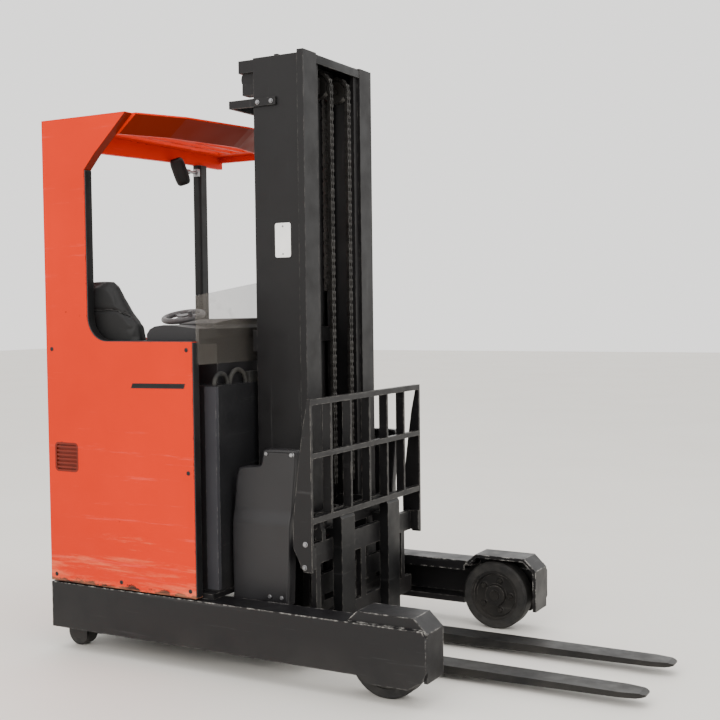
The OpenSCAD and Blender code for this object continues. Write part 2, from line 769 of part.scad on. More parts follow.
// One fork: hooked shank and blade, with the tip narrowed in plan
module fork() {
  intersection() {
    side(-fork_w / 2, fork_w / 2) polygon([[fork_x - fork_t, 10], [overall_l - 30, 32],
      [overall_l, 38], [overall_l, 44], [overall_l - 20, fork_z], [fork_x + 30, fork_z],
      [fork_x + 8, fork_z + 6], [fork_x, fork_z + 26], [fork_x, 548], [fork_x - 8, 560],
      [fork_x - fork_t, 560], [fork_x - fork_t, 510], [bar_x0 - 12, 510], [bar_x0 - 12, 462],
      [bar_x0, 462], [bar_x0, 475], [fork_x - fork_t, 475]]);
    linear_extrude(height = 600) polygon([[bar_x0 - 20, -fork_w / 2],
      [overall_l - 80, -fork_w / 2], [overall_l - 10, -fork_w / 2 + 14],
      [overall_l, -fork_w / 2 + 24], [overall_l, fork_w / 2 - 24],
      [overall_l - 10, fork_w / 2 - 14], [overall_l - 80, fork_w / 2],
      [bar_x0 - 20, fork_w / 2]]);
  }
}

module right_fork() {
  color([0.12, 0.12, 0.12]) rf() translate([0, -fork_y, 0]) fork();
}

module left_fork() {
  color([0.12, 0.12, 0.12]) rf() translate([0, fork_y, 0]) fork();
}

right_leg();
left_leg();
load_axles();
rear_frame();
battery_tray();
battery();
battery_cables();
right_panel();
left_panel();
rear_panel();
vent_grille();
roof();
guard_post();
rear_mirror();
floor_pan();
seat_pedestal();
seat_cushion();
seat_back();
console();
instrument_pod();
control_levers();
steering_console();
steering_wheel();
front_screen();
drive_motor();
reach_barrel();
drive_unit();
drive_wheel();
castor_fork();
castor_wheel();
right_load_tyre();
right_load_hub();
left_load_tyre();
left_load_hub();
reach_frame();
reach_rollers();
reach_rod();
mast_shrouds();
outer_uprights();
outer_ties();
lift_barrels();
inner_uprights();
inner_ties();
lift_rods();
lift_chains();
chain_pulleys();
carriage_frame();
carriage_rollers();
fork_bars();
load_backrest();
right_fork();
left_fork();
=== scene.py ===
"""Looks of the reach truck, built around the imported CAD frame."""

import math

import bmesh
import bpy
from mathutils import Matrix, Vector
from mathutils.bvhtree import BVHTree


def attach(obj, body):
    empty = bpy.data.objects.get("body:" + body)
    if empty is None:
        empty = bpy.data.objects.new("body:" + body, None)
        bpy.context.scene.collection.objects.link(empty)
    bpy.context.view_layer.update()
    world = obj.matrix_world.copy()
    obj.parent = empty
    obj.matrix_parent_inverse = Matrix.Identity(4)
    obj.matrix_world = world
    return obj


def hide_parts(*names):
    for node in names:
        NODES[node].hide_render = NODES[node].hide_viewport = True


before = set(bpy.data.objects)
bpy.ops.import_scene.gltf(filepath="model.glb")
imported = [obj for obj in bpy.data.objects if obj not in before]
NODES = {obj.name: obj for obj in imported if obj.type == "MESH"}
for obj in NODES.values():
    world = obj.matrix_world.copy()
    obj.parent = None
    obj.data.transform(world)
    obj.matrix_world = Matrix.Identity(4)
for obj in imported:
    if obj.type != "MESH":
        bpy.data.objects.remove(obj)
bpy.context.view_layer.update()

# The CAD source counts x from the rear face, and the frame from the middle of the length.
HALF_LENGTH = 2.285 / 2


def at(x, y, z):
    """A point given in millimetres from the rear face, in the frame's metres."""
    return Vector((x / 1000 - HALF_LENGTH, y / 1000, z / 1000))


# Materials

NOISE_LOW, NOISE_HIGH = 0.3, 0.7  # the usual range of a noise texture
MIX_A, MIX_B, MIX_RESULT = 6, 7, 2  # the colour sockets of a Mix node
EDGE_FLAT, EDGE_SHARP = 0.995, 0.85  # cosines between the true and the rounded normal
LEAN_FROM, LEAN_FULL = -0.03, -0.12  # heights of the normal on faces that lean over
UNDER_FULL, UNDER_FROM = -0.95, -0.8  # and on faces that look down


class Shader:
    """A Principled material with short calls for the nodes that colour it."""

    def __init__(self, name):
        self.material = bpy.data.materials.new(name)
        self.material.use_nodes = True
        self.tree = self.material.node_tree
        self.bsdf = self.tree.nodes["Principled BSDF"]
        self.coords = self.tree.nodes.new("ShaderNodeTexCoord").outputs["Object"]

    def node(self, kind, **inputs):
        made = self.tree.nodes.new(kind)
        for name, value in inputs.items():
            self.put(made.inputs[name.replace("_", " ")], value)
        return made

    def put(self, socket, value):
        if isinstance(value, bpy.types.NodeSocket):
            self.tree.links.new(value, socket)
        else:
            socket.default_value = value

    def set(self, **values):
        for name, value in values.items():
            self.put(self.bsdf.inputs[name.replace("_", " ")], value)

    def noise(self, scale, detail=4.0, roughness=0.55, stretch=None):
        """Noise from 0 to 1 in object space, drawn out along an axis by stretch."""
        where = self.coords
        if stretch:
            where = self.node("ShaderNodeMapping", Vector=where, Scale=stretch).outputs[0]
        made = self.node(
            "ShaderNodeTexNoise", Vector=where, Scale=scale, Detail=detail, Roughness=roughness
        )
        return made.outputs["Fac"]

    def ramp(self, fac, low, high):
        """0 below low, 1 above high, straight between."""
        made = self.node("ShaderNodeMapRange", Value=fac)
        made.inputs["From Min"].default_value = low
        made.inputs["From Max"].default_value = high
        return made.outputs[0]

    def spread(self, fac, low, high):
        """The values from low to high as noise goes over its usual range."""
        made = self.node("ShaderNodeMapRange", Value=fac)
        made.inputs["From Min"].default_value = NOISE_LOW
        made.inputs["From Max"].default_value = NOISE_HIGH
        made.inputs["To Min"].default_value = low
        made.inputs["To Max"].default_value = high
        return made.outputs[0]

    def math(self, operation, a, b):
        """A sum or product of two values, held between 0 and 1."""
        made = self.tree.nodes.new("ShaderNodeMath")
        made.operation = operation
        made.use_clamp = True
        self.put(made.inputs[0], a)
        self.put(made.inputs[1], b)
        return made.outputs[0]

    def mix(self, fac, a, b):
        """Colour a where fac is 0 and b where it is 1."""
        made = self.tree.nodes.new("ShaderNodeMix")
        made.data_type = "RGBA"
        self.put(made.inputs["Factor"], fac)
        self.put(made.inputs[MIX_A], a)
        self.put(made.inputs[MIX_B], b)
        return made.outputs[MIX_RESULT]

    def edges(self, radius):
        """1 on corners of the mesh, fading out over the radius."""
        rounded = self.node("ShaderNodeBevel", Radius=radius)
        rounded.samples = 4
        flat = self.tree.nodes.new("ShaderNodeNewGeometry").outputs["Normal"]
        dot = self.tree.nodes.new("ShaderNodeVectorMath")
        dot.operation = "DOT_PRODUCT"
        self.put(dot.inputs[0], rounded.outputs[0])
        self.put(dot.inputs[1], flat)
        return self.ramp(dot.outputs["Value"], EDGE_FLAT, EDGE_SHARP)

    def height(self, low, high):
        """1 at or below the low height in metres, 0 at or above the high one."""
        z = self.node("ShaderNodeSeparateXYZ", Vector=self.coords).outputs[2]
        return self.ramp(z, high, low)

    def leaning(self):
        """1 on faces that lean over a little, 0 on upright, upper and under ones."""
        normal = self.tree.nodes.new("ShaderNodeNewGeometry").outputs["Normal"]
        z = self.node("ShaderNodeSeparateXYZ", Vector=normal).outputs[2]
        leans = self.ramp(z, LEAN_FROM, LEAN_FULL)
        return self.math("MULTIPLY", leans, self.ramp(z, UNDER_FULL, UNDER_FROM))

    def bump(self, height, strength, distance=0.002):
        made = self.node("ShaderNodeBump", Height=height, Strength=strength, Distance=distance)
        self.set(Normal=made.outputs[0])


def rgb(r, g, b):
    """Linear colour from the usual 0 to 255 values."""

    def line(v):
        v /= 255
        return v / 12.92 if v < 0.04045 else ((v + 0.055) / 1.055) ** 2.4

    return (line(r), line(g), line(b), 1.0)


def tone(colour, gain, lift=0.0):
    """A colour made brighter or darker, with some grey added."""
    return tuple(c * gain + lift for c in colour[:3]) + (1.0,)


DUST = rgb(150, 143, 132)
SCUFFED = rgb(120, 118, 116)


def painted(
    name, colour, chip, rough=0.42, wear=0.5, dust=0.25, grime_top=0.4, shine=0.25, scuff=0.3,
    coat=None, edge=0.005, grain=(0.5, 0.5, 9.0),
):
    """Sprayed sheet metal: slight mottling, rubbed edges, fine scratches and dust low down."""
    s = Shader(name)
    mottle = s.ramp(s.noise(2.6, 3.0), 0.3, 0.7)
    base = s.mix(mottle, tone(colour, 0.9), colour)
    streaks = s.noise(4.0, 8.0, 0.72, grain)
    scratch = s.math("MULTIPLY", s.ramp(streaks, 0.6, 0.72), scuff)
    base = s.mix(scratch, base, tone(colour, 1.1, 0.09))
    broken = s.ramp(s.noise(34.0, 6.0, 0.65), 0.62 - 0.3 * wear, 0.72 - 0.2 * wear)
    rubbed = s.math("MULTIPLY", s.edges(edge), broken)
    rubbed = s.math("MULTIPLY", rubbed, s.ramp(s.height(0.1, 0.2), 1.2, 0.2))
    base = s.mix(rubbed, base, chip)
    cloud = s.ramp(s.noise(5.0, 5.0, 0.6), 0.35, 0.75)
    dirt = s.math("MULTIPLY", s.math("MULTIPLY", s.height(0.02, grime_top), cloud), dust)
    base = s.mix(dirt, base, DUST)
    if coat:
        base = coat(s, base)
    s.set(Base_Color=base)
    smear = s.noise(11.0, 4.0)
    s.set(Roughness=s.spread(smear, rough - 0.1, rough + 0.12), Specular_IOR_Level=shine)
    s.bump(s.noise(220, 2.0), 0.06, 0.001)
    return s.material


def body_wear_and_shade(s, base):
    """Marks on the orange sheets: painted shade on faces that lean down, such as the guard's
    front, chips at the foot, pale scuffs.
    """
    # Painted shade: faces whose normal leans down go dark, as if in shadow.
    base = s.mix(s.math("MULTIPLY", s.leaning(), 0.9), base, (0.10, 0.009, 0.002, 1.0))
    foot = s.math("MULTIPLY", s.height(0.272, 0.312), 0.42)
    ragged = s.noise(16.0, 7.0, 0.7, (1.0, 1.0, 1.8))
    chips = s.ramp(s.math("ADD", foot, ragged), 0.74, 0.8)
    base = s.mix(chips, base, rgb(52, 34, 30))
    spots = s.ramp(s.noise(23.0, 5.0, 0.6), 0.73, 0.76)
    base = s.mix(s.math("MULTIPLY", spots, 0.5), base, rgb(92, 40, 26))
    rubs = s.math("MULTIPLY", s.height(0.2, 1.1), s.noise(3.0, 7.0, 0.75, (1.0, 1.0, 12.0)))
    return s.mix(s.math("MULTIPLY", s.ramp(rubs, 0.4, 0.58), 0.45), base, rgb(240, 150, 110))


def moulded(name, colour, rough=0.55, grain=900, shine=0.3):
    """Grained plastic with faint scuffs and slightly greyed edges."""
    s = Shader(name)
    cloud = s.ramp(s.noise(4.0, 4.0), 0.3, 0.75)
    base = s.mix(cloud, colour, tone(colour, 1.35, 0.006))
    scuff = s.ramp(s.noise(14.0, 8.0, 0.75, (1.0, 1.0, 0.3)), 0.64, 0.78)
    base = s.mix(s.math("MULTIPLY", scuff, 0.3), base, SCUFFED)
    s.set(Base_Color=s.mix(s.math("MULTIPLY", s.edges(0.004), 0.25), base, SCUFFED))
    s.set(Roughness=s.spread(s.noise(8.0, 3.0), rough - 0.1, rough + 0.1))
    s.set(Specular_IOR_Level=shine)
    s.bump(s.noise(grain, 3.0), 0.18, 0.0008)
    return s.material


def metal(name, colour, rough=0.35, grease=0.3, brushed=(1.0, 1.0, 40.0)):
    """Bare machined steel with brushed lines and dark oily patches."""
    s = Shader(name)
    lines = s.noise(60.0, 3.0, 0.6, brushed)
    patch = s.ramp(s.noise(9.0, 5.0), 0.45, 0.7)
    base = s.mix(s.math("MULTIPLY", patch, grease), colour, tone(colour, 0.3))
    s.set(Base_Color=base, Metallic=0.9)
    s.set(Roughness=s.spread(lines, rough - 0.12, rough + 0.12))
    s.bump(lines, 0.08, 0.0006)
    return s.material


def rubber(name, colour, dust=0.35):
    """Solid tyre: matt, greyed by floor dust, with fine scuffs."""
    s = Shader(name)
    patch = s.ramp(s.noise(13.0, 6.0, 0.65), 0.38, 0.75)
    s.set(Base_Color=s.mix(s.math("MULTIPLY", patch, dust), colour, DUST))
    s.set(Roughness=s.spread(s.noise(30.0, 4.0), 0.62, 0.85))
    s.bump(s.noise(260.0, 5.0, 0.7), 0.25, 0.001)
    return s.material


def vinyl(name, colour):
    """Seat cover: fine leather grain with a soft sheen."""
    s = Shader(name)
    cells = s.node("ShaderNodeTexVoronoi", Vector=s.coords, Scale=420.0)
    cells.feature = "DISTANCE_TO_EDGE"
    shade = s.ramp(s.noise(6.0, 4.0), 0.3, 0.8)
    s.set(Base_Color=s.mix(shade, colour, tone(colour, 1.8, 0.004)))
    s.set(Roughness=s.spread(s.noise(20.0, 4.0), 0.4, 0.58))
    s.set(Sheen_Weight=0.02, Specular_IOR_Level=0.28)
    s.bump(s.ramp(cells.outputs["Distance"], 0.0, 0.12), 0.2, 0.0006)
    return s.material


def smoked(name):
    """Clear sheet with a brown grey tint, faint haze and scratches."""
    s = Shader(name)
    haze = s.ramp(s.noise(7.0, 6.0, 0.7), 0.45, 0.8)
    s.set(Base_Color=s.mix(haze, rgb(108, 103, 97), rgb(144, 140, 134)))
    scratch = s.noise(30.0, 6.0, 0.7, (1.0, 0.2, 3.0))
    s.set(Roughness=s.spread(scratch, 0.08, 0.2), Alpha=s.spread(haze, 0.26, 0.36))
    s.bump(s.noise(3.0, 2.0), 0.04, 0.002)
    return s.material


ORANGE = painted(
    "orange_paint", (0.68, 0.022, 0.0004, 1.0), rgb(64, 36, 28), wear=0.35, dust=0.03,
    grime_top=0.9, shine=0.1, scuff=0.5, coat=body_wear_and_shade,
)
# Painted shade: the grille's orange slats are darkened for the shade that falls between them.
SHADED_VENT = painted(
    "vent_paint_painted_shade", rgb(112, 30, 12), rgb(60, 30, 22), rough=0.5, wear=0.4, dust=0.1, grime_top=0.9
)
LEG = painted(
    "leg_paint", rgb(17, 16, 18), rgb(178, 175, 170), wear=0.55, dust=0.06, grime_top=0.2,
    shine=0.3, edge=0.008,
)
DARK = painted(
    "dark_paint", rgb(24, 23, 24), rgb(112, 109, 104), wear=0.6, dust=0.06, grime_top=0.3
)
MAST = painted(
    "mast_paint", rgb(23, 22, 23), rgb(78, 76, 73), rough=0.45, dust=0.03, grime_top=0.3,
    scuff=0.22, grain=(8.0, 8.0, 0.4),
)
BLACK = painted(
    "black_paint", rgb(14, 14, 15), rgb(105, 102, 98), wear=0.6, dust=0.1, grime_top=0.1
)
PLASTIC = moulded("dark_plastic", rgb(30, 29, 31))
COVERS = moulded("cover_plastic", rgb(24, 23, 25), rough=0.38, shine=0.42)
PLASTIC_BLACK = moulded("black_plastic", rgb(11, 11, 12), rough=0.45, shine=0.25)
PLASTIC_GREY = moulded("grey_plastic", rgb(84, 83, 84), rough=0.5)
WHITE = moulded("white_plastic", rgb(226, 226, 224), rough=0.4)
CASE = painted(
    "battery_case", rgb(28, 28, 30), rgb(84, 82, 80), rough=0.5, wear=0.4, dust=0.1, grime_top=0.6
)
# Painted light: a lighter copy of the battery case paint, for the lit side faces.
LIT_CASE_EDGE = painted(
    "case_edge_painted_light", rgb(58, 58, 62), rgb(104, 102, 100), rough=0.45, wear=0.4, dust=0.08,
    grime_top=0.6,
)
STEEL = metal("bare_steel", rgb(150, 150, 152), rough=0.4, grease=0.5)
CHAIN = metal("chain_steel", rgb(66, 64, 62), rough=0.42, grease=0.75, brushed=(8.0, 8.0, 1.0))
BOLT = metal("bolt_steel", rgb(64, 62, 60), rough=0.45, grease=0.7)
CHROME = metal("rod_chrome", rgb(190, 190, 194), rough=0.25, grease=0.1, brushed=(30.0, 30.0, 1.0))
HUB = painted(
    "hub_paint", rgb(25, 24, 24), rgb(110, 106, 101), rough=0.45, dust=0.12, grime_top=0.3
)
TYRE = rubber("tyre", rgb(16, 15, 15), dust=0.08)
CABLE = rubber("cable_rubber", rgb(18, 18, 18), dust=0.15)
SEAT = vinyl("seat_vinyl", rgb(9, 9, 10))
SCREEN = smoked("smoked_screen")

NODE_MATERIALS = {
    ORANGE: ["right_panel", "left_panel", "rear_panel", "roof"],
    SHADED_VENT: ["vent_grille"],
    LEG: ["right_leg", "left_leg"],
    DARK: [
        "rear_frame", "battery_tray", "reach_frame", "drive_unit",
        "castor_fork", "load_backrest", "fork_bars", "carriage_frame", "drive_motor",
        "reach_barrel",
    ],
    MAST: ["outer_uprights", "outer_ties", "inner_uprights", "inner_ties", "lift_barrels"],
    BLACK: ["right_fork", "left_fork", "guard_post"],
    PLASTIC: ["mast_shrouds", "seat_pedestal", "console", "steering_console", "floor_pan"],
    PLASTIC_BLACK: ["rear_mirror", "control_levers"],
    PLASTIC_GREY: ["steering_wheel", "instrument_pod"],
    CASE: ["battery"],
    BOLT: ["load_axles", "chain_pulleys"],
    STEEL: ["reach_rollers", "carriage_rollers"],
    HUB: ["right_load_hub", "left_load_hub"],
    CHAIN: ["lift_chains"],
    CHROME: ["reach_rod", "lift_rods"],
    TYRE: ["drive_wheel", "castor_wheel", "right_load_tyre", "left_load_tyre"],
    CABLE: ["battery_cables"],
    SEAT: ["seat_cushion", "seat_back"],
    SCREEN: ["front_screen"],
}

for material, names in NODE_MATERIALS.items():
    for name in names:
        mesh = NODES[name].data
        mesh.materials.clear()
        mesh.materials.append(material)


# Mesh helpers


MANY_SIDED = 9  # faces with this many corners are flat ends, and stay flat


def piece(name, bm, material, body, replaces=(), smooth=None):
    """Put a bmesh into the scene as one piece that rides on a body."""
    mesh = bpy.data.meshes.new(name)
    bmesh.ops.recalc_face_normals(bm, faces=bm.faces)
    bm.to_mesh(mesh)
    bm.free()
    mesh.materials.append(material)
    made = bpy.data.objects.new(name, mesh)
    bpy.context.collection.objects.link(made)
    if smooth is not None:
        mesh.shade_smooth()
        mesh.set_sharp_from_angle(angle=math.radians(smooth))
        for face in mesh.polygons:
            face.use_smooth = len(face.vertices) < MANY_SIDED
    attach(made, body)
    if replaces:
        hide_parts(*replaces)
    return made


def add_prism(bm, outline, start, along, bevel=0.0):
    """Draw a closed outline of points out along a vector, with its end edges bevelled."""
    low = [bm.verts.new(Vector(p) + start) for p in outline]
    high = [bm.verts.new(Vector(p) + start + along) for p in outline]
    caps = [bm.faces.new(low), bm.faces.new(list(reversed(high)))]
    count = len(outline)
    for i in range(count):
        j = (i + 1) % count
        bm.faces.new((low[j], low[i], high[i], high[j]))
    if bevel:
        edges = [e for cap in caps for e in cap.edges]
        bmesh.ops.bevel(bm, geom=edges, offset=bevel, segments=2, affect="EDGES", profile=0.6)


def add_box(bm, low, high, bevel=0.0):
    """A box between two corners in millimetres from the rear face."""
    a, b = at(*low), at(*high)
    outline = [(a.x, a.y, a.z), (b.x, a.y, a.z), (b.x, b.y, a.z), (a.x, b.y, a.z)]
    add_prism(bm, outline, Vector(), Vector((0, 0, b.z - a.z)), bevel)


def frame_of(axis):
    """Two unit vectors square to an axis."""
    axis = Vector(axis).normalized()
    aside = Vector((0, 0, 1)) if abs(axis.z) < 0.9 else Vector((1, 0, 0))
    u = axis.cross(aside).normalized()
    return u, axis.cross(u)


def add_lathe(bm, place, axis, profile, sides=24, turn=0.0):
    """Turn a profile of (radius, height) in metres around an axis through a place."""
    axis = Vector(axis).normalized()
    u, v = frame_of(axis)
    rings = []
    for radius, height in profile:
        middle = place + axis * height
        if radius < 1e-6:
            rings.append([bm.verts.new(middle)])
            continue
        ring = []
        for i in range(sides):
            a = turn + math.tau * i / sides
            ring.append(bm.verts.new(middle + radius * (u * math.cos(a) + v * math.sin(a))))
        rings.append(ring)
    for one, two in zip(rings, rings[1:]):
        for i in range(sides):
            j = (i + 1) % sides
            if len(one) == 1:
                bm.faces.new((one[0], two[i], two[j]))
            elif len(two) == 1:
                bm.faces.new((one[i], one[j], two[0]))
            else:
                bm.faces.new((one[i], one[j], two[j], two[i]))
    for ring in (rings[0], rings[-1]):
        if len(ring) > 1:
            bm.faces.new(ring)


def add_bolt(bm, place, axis, radius, height):
    """A hexagon head with a chamfered top on a flat washer."""
    washer = [(radius * 1.35, 0), (radius * 1.35, height * 0.18), (radius * 1.2, height * 0.24)]
    add_lathe(bm, place, axis, washer, 20)
    head = [(radius, height * 0.2), (radius, height * 0.85), (radius * 0.84, height)]
    add_lathe(bm, place, axis, head, 6)


def add_tube(bm, points, radius, sides=10, closed=False):
    """A round tube that follows points in metres."""
    rings = []
    count = len(points)
    for i, p in enumerate(points):
        back = points[i - 1] if i or closed else p
        fore = points[(i + 1) % count] if i < count - 1 or closed else p
        u, v = frame_of(fore - back)
        ring = []
        for k in range(sides):
            a = math.tau * k / sides
            ring.append(bm.verts.new(p + radius * (u * math.cos(a) + v * math.sin(a))))
        rings.append(ring)
    pairs = list(zip(rings, rings[1:]))
    if closed:
        pairs.append((rings[-1], rings[0]))
    for one, two in pairs:
        shift = min(range(sides), key=lambda s: (one[0].co - two[s].co).length)
        for k in range(sides):
            n = (k + 1) % sides
            bm.faces.new((one[k], one[n], two[(n + shift) % sides], two[(k + shift) % sides]))
    if not closed:
        bm.faces.new(rings[0])
        bm.faces.new(rings[-1])


# Seat

CLOTH_STEPS = 20


def kept_in(low, high):
    """A function that brings a point into the box between two corners."""

    def bring(p):
        return Vector([min(max(v, a), b) for v, a, b in zip(p, low, high)])

    return bring


def settle(name, bm, voxel, pressure, cap, bring):
    """Remesh a rough pad and swell it with cloth, keeping each point near its start."""
    mesh = bpy.data.meshes.new(name)
    bmesh.ops.recalc_face_normals(bm, faces=bm.faces)
    bm.to_mesh(mesh)
    bm.free()
    rough = bpy.data.objects.new(name, mesh)
    bpy.context.collection.objects.link(rough)
    grid = rough.modifiers.new("grid", "REMESH")
    grid.mode = "VOXEL"
    grid.voxel_size = voxel
    view = bpy.context.evaluated_depsgraph_get()
    even = bpy.data.meshes.new_from_object(rough.evaluated_get(view))
    rough.modifiers.clear()
    rough.data = even
    start = [v.co.copy() for v in even.vertices]
    cloth = rough.modifiers.new("cloth", "CLOTH")
    cloth.settings.use_pressure = True
    cloth.settings.uniform_pressure_force = pressure
    cloth.settings.effector_weights.gravity = 0
    cloth.settings.quality = 5
    cloth.point_cache.frame_start = 1
    cloth.point_cache.frame_end = CLOTH_STEPS
    scene = bpy.context.scene
    for step in range(1, CLOTH_STEPS + 1):
        scene.frame_set(step)
    view = bpy.context.evaluated_depsgraph_get()
    swollen = rough.evaluated_get(view).to_mesh()
    ends = [v.co.copy() for v in swollen.vertices]
    rough.evaluated_get(view).to_mesh_clear()
    rough.modifiers.clear()
    scene.frame_set(1)
    for v, a, b in zip(even.vertices, start, ends):
        move = b - a
        if move.length > cap:
            move *= cap / move.length
        v.co = a + move
    for v in even.vertices:
        v.co = bring(v.co)
    even.update()
    return rough


def sew(pad, seams, depth, width):
    """Press grooves into a pad along seams, each a list of points in metres."""
    mesh = pad.data
    normals = [v.normal.copy() for v in mesh.vertices]
    for v, normal in zip(mesh.vertices, normals):
        near = min((v.co - p).length for seam in seams for p in seam)
        if near < width * 3:
            v.co -= normal * depth * math.exp(-((near / width) ** 2))
    mesh.update()


def run(start, step, count):
    """Points in metres from a place in millimetres, a step apart."""
    return [at(*(a + b * i for a, b in zip(start, step))) for i in range(count)]


def on_pad(pad, points, lift):
    """The points moved to the nearest place on a pad, and lifted off it a little."""
    tree = BVHTree.FromObject(pad, bpy.context.evaluated_depsgraph_get())
    found = []
    for p in points:
        spot, normal, _, _ = tree.find_nearest(p)
        found.append(spot + normal * lift)
    return found


def dress_pad(pad, body, node):
    pad.data.materials.clear()
    pad.data.materials.append(SEAT)
    pad.data.shade_smooth()
    pad.modifiers.new("round", "SUBSURF").levels = 1
    pad.modifiers["round"].render_levels = 1
    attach(pad, body)
    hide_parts(node)


def rounded_ring(x0, x1, y0, y1, z, power=4.0, count=48):
    """A rounded rectangle at one height, as points in metres."""
    ring = []
    for i in range(count):
        a = math.tau * i / count
        c, s = math.cos(a), math.sin(a)
        u = math.copysign(abs(c) ** (2 / power), c)
        w = math.copysign(abs(s) ** (2 / power), s)
        ring.append(at((x0 + x1) / 2 + u * (x1 - x0) / 2, (y0 + y1) / 2 + w * (y1 - y0) / 2, z))
    return ring


def loft(rings):
    """A closed skin over rings of points."""
    bm = bmesh.new()
    layers = [[bm.verts.new(p) for p in ring] for ring in rings]
    count = len(layers[0])
    for one, two in zip(layers, layers[1:]):
        for i in range(count):
            j = (i + 1) % count
            bm.faces.new((one[i], one[j], two[j], two[i]))
    bm.faces.new(layers[0])
    bm.faces.new(layers[-1])
    return bm


VOXEL = 0.006
SEAM_DEPTH, SEAM_WIDTH = 0.007, 0.007
SEAM_X, SEAM_STEP = (128, 372), 5

# The cushion lies on the pedestal at 860. Each row is a height and the edges in x and in y.
CUSHION = [
    (875, 72, 428, -412, -34), (892, 60, 440, -424, -22), (925, 58, 442, -426, -20),
    (946, 64, 436, -420, -26), (957, 82, 418, -402, -46),
]
bm = loft([rounded_ring(x0, x1, y0, y1, z) for z, x0, x1, y0, y1 in CUSHION])
cushion = settle(
    "seat_cushion_soft", bm, VOXEL, pressure=4.0, cap=0.016,
    bring=kept_in(at(46, -439, 861), at(454, -6, 978)),
)
cushion_seams = [run((x, -430, 965), (0, SEAM_STEP, 0), 86) for x in SEAM_X]
cushion_seams += [run((SEAM_X[0], y, 968), (SEAM_STEP, 0, 0), 49) for y in (-300, -165)]
cushion_seams = [on_pad(cushion, seam, 0) for seam in cushion_seams]
sew(cushion, cushion_seams, SEAM_DEPTH, SEAM_WIDTH)
dress_pad(cushion, "chassis", "seat_cushion")

# The back leans on the right hand panel's inside and narrows to a head piece.
BACK = [
    (866, 68, 432, -512, -452), (900, 64, 436, -518, -450), (1000, 64, 434, -522, -450),
    (1120, 68, 432, -524, -456), (1230, 74, 428, -524, -458), (1290, 84, 416, -526, -462),
    (1340, 108, 372, -528, -470), (1400, 132, 336, -530, -482), (1445, 146, 308, -532, -490),
    (1464, 166, 286, -530, -498),
]
bm = loft([rounded_ring(x0, x1, y0, y1, z, 5.0) for z, x0, x1, y0, y1 in BACK])
back = settle(
    "seat_back_soft", bm, VOXEL, pressure=3.0, cap=0.011,
    bring=kept_in(at(50, -540, 861), at(450, -440.5, 1480)),
)
back_seams = [run((x, -450, 930), (0, 0, 6), 58) for x in SEAM_X]
back_seams += [run((SEAM_X[0], -450, z), (SEAM_STEP, 0, 0), 49) for z in (1010, 1110, 1210)]
back_seams.append(run((92, -462, 1300), (SEAM_STEP, 0, 0), 64))
back_seams.append(run((70, -545, 1345), (SEAM_STEP, 0, 0), 66))
back_seams = [on_pad(back, seam, 0) for seam in back_seams]
sew(back, back_seams, SEAM_DEPTH, SEAM_WIDTH)
dress_pad(back, "chassis", "seat_back")

# Piping round the cushion's upper edge and along the long seams.
bm = bmesh.new()
rim = rounded_ring(46, 454, -439, -6, 950, count=160)
add_tube(bm, on_pad(cushion, rim, 0.001), 0.0032, 8, True)
for seam in cushion_seams[:2]:
    add_tube(bm, on_pad(cushion, seam[4:-4], 0.0005), 0.002, 6)
for seam in back_seams[:2]:
    add_tube(bm, on_pad(back, seam, 0.0005), 0.002, 6)
add_tube(bm, on_pad(back, back_seams[-1], 0.0008), 0.0026, 6)
piece("seat_piping", bm, PLASTIC_BLACK, "chassis", smooth=60)


# Moulded covers beside the mast


def soften(points, rounds):
    """Cut the corners of an open outline and keep its two ends."""
    for _ in range(rounds):
        cut = [points[0]]
        for p, q in zip(points, points[1:]):
            cut.append((p[0] * 0.75 + q[0] * 0.25, p[1] * 0.75 + q[1] * 0.25))
            cut.append((p[0] * 0.25 + q[0] * 0.75, p[1] * 0.25 + q[1] * 0.75))
        points = cut + [points[-1]]
    return points


def inset(points, distance):
    """Move a closed outline, which runs counter-clockwise, inwards by a distance."""
    moved = []
    for i, p in enumerate(points):
        a, b = points[i - 1], points[(i + 1) % len(points)]
        tx, ty = b[0] - a[0], b[1] - a[1]
        size = math.hypot(tx, ty)
        moved.append((p[0] - ty / size * distance, p[1] + tx / size * distance))
    return moved


COVER = [
    (1018, 248), (1031, 573), (1051, 760), (1051, 816), (1042, 825), (918, 825), (908, 814),
    (902, 768), (888, 758), (806, 752), (794, 738), (786, 700), (770, 553), (772, 248),
]
COVER_FACE, UPRIGHT_FACE = 430, 257
# Insets of the cover's outline and their depths behind its face, from the inside round the rim
COVER_RINGS = [
    (10, 8), (6, 47), (0, 47), (0, 10), (0.7, 6.2), (2.2, 3.2), (4.6, 1.1), (7.6, 0.2), (9.5, 0),
]
bm = bmesh.new()
for sign in (-1, 1):
    outline = soften(COVER, 2)
    layers = []
    for distance, drop in COVER_RINGS:
        ring = inset(outline, distance)
        layers.append([bm.verts.new(at(x, sign * (COVER_FACE - drop), z)) for x, z in ring])
    for one, two in zip(layers, layers[1:]):
        for i in range(len(one)):
            j = (i + 1) % len(one)
            bm.faces.new((one[i], one[j], two[j], two[i]))
    bm.faces.new(layers[0])
    bm.faces.new(layers[-1])
STEP_LOW, STEP_HIGH, STEP_BACK, STEP_CUTS = 540, 600, 9, 8
FACE_ONLY = 0.4  # points nearer the middle than this belong to the rim
for i in range(STEP_CUTS + 1):
    cut = at(0, 0, STEP_LOW + (STEP_HIGH - STEP_LOW) * i / STEP_CUTS)
    geometry = bm.verts[:] + bm.edges[:] + bm.faces[:]
    bmesh.ops.bisect_plane(bm, geom=geometry, plane_co=cut, plane_no=(0, 0, 1))
for v in bm.verts:
    if abs(v.co.y) > FACE_ONLY:
        rise = min(max((v.co.z * 1000 - STEP_LOW) / (STEP_HIGH - STEP_LOW), 0), 1)
        back_by = STEP_BACK * rise * rise * (3 - 2 * rise) / 1000
        v.co.y -= math.copysign(back_by, v.co.y)
